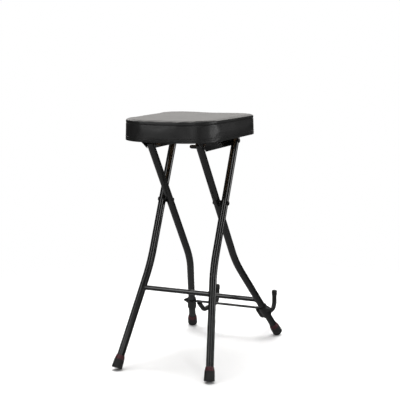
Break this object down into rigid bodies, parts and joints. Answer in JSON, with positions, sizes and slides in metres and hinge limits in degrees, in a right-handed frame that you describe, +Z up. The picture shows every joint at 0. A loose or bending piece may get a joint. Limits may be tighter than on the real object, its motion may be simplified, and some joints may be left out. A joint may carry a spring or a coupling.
{
  "type": "folding guitar stool",
  "caption": "Tall folding X-frame stool with a padded seat, a footrest bar and a fold-out rear cradle that holds an instrument upright.",
  "frame": {"origin": "on the floor, under the middle of the stool's overall box with the cradle folded out", "axes": "+Z up, -Y the way the sitter faces, +X the sitter's left-hand side"},
  "size_m": [0.3372, 0.6587, 0.7379],
  "materials": {
    "black_paint": "glossy black powder coat on steel",
    "black_vinyl": "smooth black vinyl over foam, fine grain, semi-gloss",
    "black_rubber": "moulded black rubber, satin",
    "red_plastic": "dark red moulded plastic",
    "black_plastic": "moulded black plastic, satin",
    "black_zinc": "black zinc plated steel",
    "plywood": "bare birch plywood"
  },
  "bodies": {
    "front_frame": {"footrest_bar": "black_paint", "front_foot_collar_left": "red_plastic", "front_foot_collar_right": "red_plastic", "front_foot_left": "black_rubber", "front_foot_right": "black_rubber", "front_leg_left": "black_paint", "front_leg_plug_left": "black_plastic", "front_leg_plug_right": "black_plastic", "front_leg_right": "black_paint", "pivot_rivet_left": "black_zinc", "pivot_rivet_right": "black_zinc", "pivot_spacer_left": "black_plastic", "pivot_spacer_right": "black_plastic", "seat_hinge_rivet_left": "black_zinc", "seat_hinge_rivet_right": "black_zinc"},
    "rear_frame": {"cradle_bush_left": "black_plastic", "cradle_bush_right": "black_plastic", "rear_crossbar": "black_paint", "rear_foot_collar_left": "red_plastic", "rear_foot_collar_right": "red_plastic", "rear_foot_left": "black_rubber", "rear_foot_right": "black_rubber", "rear_leg_left": "black_paint", "rear_leg_plug_left": "black_plastic", "rear_leg_plug_right": "black_plastic", "rear_leg_right": "black_paint", "seat_pin_cap_left": "black_plastic", "seat_pin_cap_right": "black_plastic", "seat_pin_left": "black_zinc", "seat_pin_right": "black_zinc"},
    "seat": {"seat_board": "plywood", "seat_cushion": "black_vinyl", "seat_rail_left": "black_paint", "seat_rail_right": "black_paint"},
    "cradle": {"cradle_cap_left": "black_rubber", "cradle_cap_right": "black_rubber", "cradle_sleeve_left": "black_rubber", "cradle_sleeve_right": "black_rubber", "cradle_yoke": "black_paint"}
  },
  "joints": [
    {"name": "frame_fold", "type": "hinge", "parent": "front_frame", "child": "rear_frame", "pos_m": [0, -0.09226, 0.48], "axis": [-1, 0, 0], "range_deg": [0, 51]},
    {"name": "seat_fold", "type": "hinge", "parent": "front_frame", "child": "seat", "pos_m": [0, -0.00963, 0.658], "axis": [-1, 0, 0], "range_deg": [0, 107.2]},
    {"name": "cradle_fold", "type": "hinge", "parent": "rear_frame", "child": "cradle", "pos_m": [0, 0.16468, 0.1005], "axis": [1, 0, 0], "range_deg": [0, 110]}
  ],
  "couplings": [
    {"joint": "seat_fold", "follows": "frame_fold", "ratio": 2.1}
  ]
}
